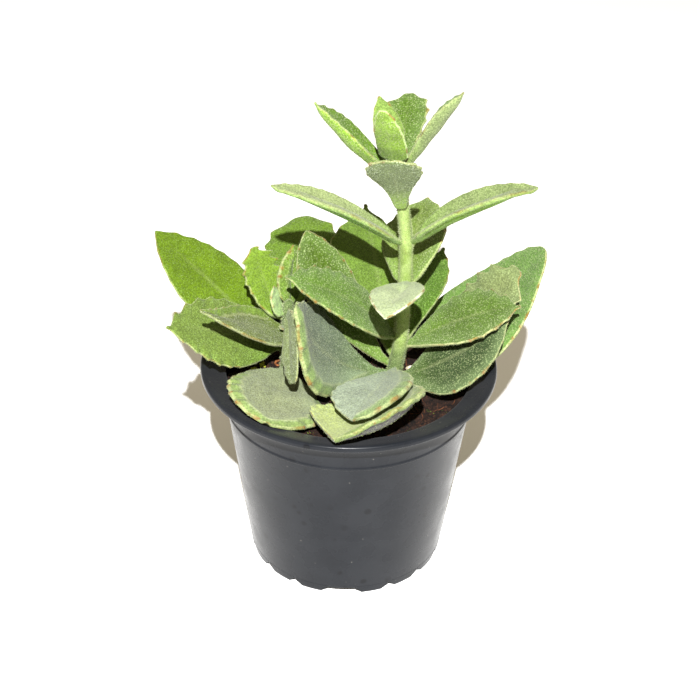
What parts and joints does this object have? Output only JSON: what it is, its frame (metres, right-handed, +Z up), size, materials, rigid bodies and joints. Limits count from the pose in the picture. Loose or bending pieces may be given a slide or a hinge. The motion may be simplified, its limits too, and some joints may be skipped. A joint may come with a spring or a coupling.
{
  "type": "potted kalanchoe millotii",
  "caption": "Succulent with felted, notched leaves on upright stems, growing in soil in a round tapered nursery pot with a wide rim.",
  "frame": {"origin": "centre of the plant's bounding box seen from above, at the level of the pot's feet", "axes": "+Z up; the picture looks along +Y and down, with +X to its right"},
  "size_m": [0.141, 0.1192, 0.1803],
  "materials": {
    "pot_plastic": "semi-gloss moulded, lightly scratched and dusty",
    "potting_soil": "rough, fibrous",
    "green_stem": "downy",
    "felted_leaf": "felted with short pale hairs"
  },
  "bodies": {
    "root": {"leaf_left_back": "felted_leaf", "leaf_left_bud": "felted_leaf", "leaf_left_droop": "felted_leaf", "leaf_left_far": "felted_leaf", "leaf_left_front": "felted_leaf", "leaf_left_low": "felted_leaf", "leaf_left_mint": "felted_leaf", "leaf_left_near": "felted_leaf", "leaf_left_slim": "felted_leaf", "leaf_left_small": "felted_leaf", "leaf_main_base_back": "felted_leaf", "leaf_main_base_back_right": "felted_leaf", "leaf_main_base_left_back": "felted_leaf", "leaf_main_base_left_front": "felted_leaf", "leaf_main_base_right": "felted_leaf", "leaf_main_crown_back": "felted_leaf", "leaf_main_crown_front": "felted_leaf", "leaf_main_front_inner": "felted_leaf", "leaf_main_front_outer": "felted_leaf", "leaf_main_heart_front": "felted_leaf", "leaf_main_low_left": "felted_leaf", "leaf_main_low_right": "felted_leaf", "leaf_main_mid_left": "felted_leaf", "leaf_main_mid_right": "felted_leaf", "leaf_main_shoulder_back": "felted_leaf", "leaf_main_top_left": "felted_leaf", "leaf_main_top_right": "felted_leaf", "leaf_main_upper_back": "felted_leaf", "leaf_main_upper_front": "felted_leaf", "leaf_right_back": "felted_leaf", "leaf_right_front": "felted_leaf", "pot": "pot_plastic", "soil": "potting_soil", "stem_left": "green_stem", "stem_main": "green_stem", "stem_right": "green_stem"}
  },
  "joints": []
}
